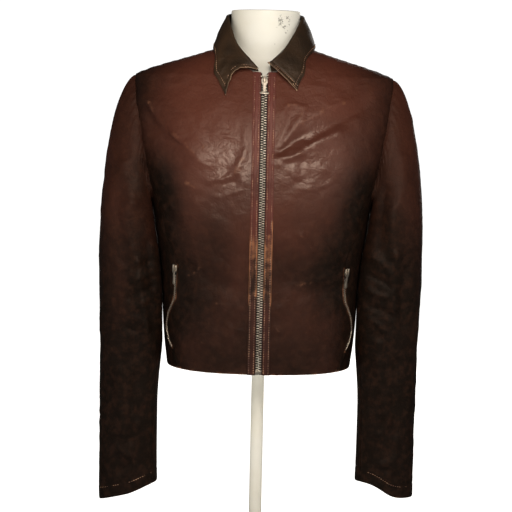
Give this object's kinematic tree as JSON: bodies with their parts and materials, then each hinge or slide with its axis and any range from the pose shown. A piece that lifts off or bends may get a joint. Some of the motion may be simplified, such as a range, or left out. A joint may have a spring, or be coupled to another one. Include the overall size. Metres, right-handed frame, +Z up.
{
  "type": "leather jacket on a dress form",
  "caption": "Worn brown leather jacket, zip front, pointed collar and curved pocket zips, on a limbless dress form with pole and base.",
  "frame": {"origin": "centre of the underside of the form's round base, on the surface it stands on", "axes": "+Z up, -Y towards the front of the jacket, +X towards the wearer's left"},
  "size_m": [0.506, 0.28, 0.859],
  "materials": {
    "leather_body": "glossy, worn",
    "leather_collar": "satin, worn",
    "leather_edge": "rubbed edges",
    "zip_tape": "woven",
    "zip_metal": "antique nickel",
    "form_body": "painted, chipped",
    "form_metal": "satin paint"
  },
  "bodies": {
    "jacket": {"front_left": "leather_body", "side_left": "leather_body", "sleeve_top_left": "leather_body", "sleeve_under_left": "leather_body", "front_right": "leather_body", "side_right": "leather_body", "sleeve_top_right": "leather_body", "sleeve_under_right": "leather_body", "back": "leather_body", "collar_stand": "leather_collar", "collar_fall": "leather_collar", "band_left": "leather_edge", "band_right": "leather_edge", "zip_tape_left": "zip_tape", "zip_tape_right": "zip_tape", "zip_chain": "zip_metal", "zip_slider": "zip_metal", "zip_stop": "zip_metal", "pocket_zip_left": "zip_metal", "pocket_slider_left": "zip_metal", "pocket_zip_right": "zip_metal", "pocket_slider_right": "zip_metal", "form_torso": "form_body", "form_pole": "form_metal", "form_base": "form_metal"},
    "zip_pull": {"zip_pull": "zip_metal"},
    "pocket_pull_left": {"pocket_pull_left": "zip_metal"},
    "pocket_pull_right": {"pocket_pull_right": "zip_metal"}
  },
  "joints": [
    {"name": "zip_pull_swing", "type": "hinge", "parent": "jacket", "child": "zip_pull", "pos_m": [0, -0.07565, 0.75379], "axis": [-1, 0, 0], "range_deg": [0, 150]},
    {"name": "pocket_pull_left_swing", "type": "hinge", "parent": "jacket", "child": "pocket_pull_left", "pos_m": [0.13339, -0.07688, 0.46444], "axis": [-0.7154, -0.6987, 0], "range_deg": [0, 150]},
    {"name": "pocket_pull_right_swing", "type": "hinge", "parent": "jacket", "child": "pocket_pull_right", "pos_m": [-0.13203, -0.07621, 0.46504], "axis": [-0.7873, 0.6165, 0], "range_deg": [0, 150]}
  ]
}
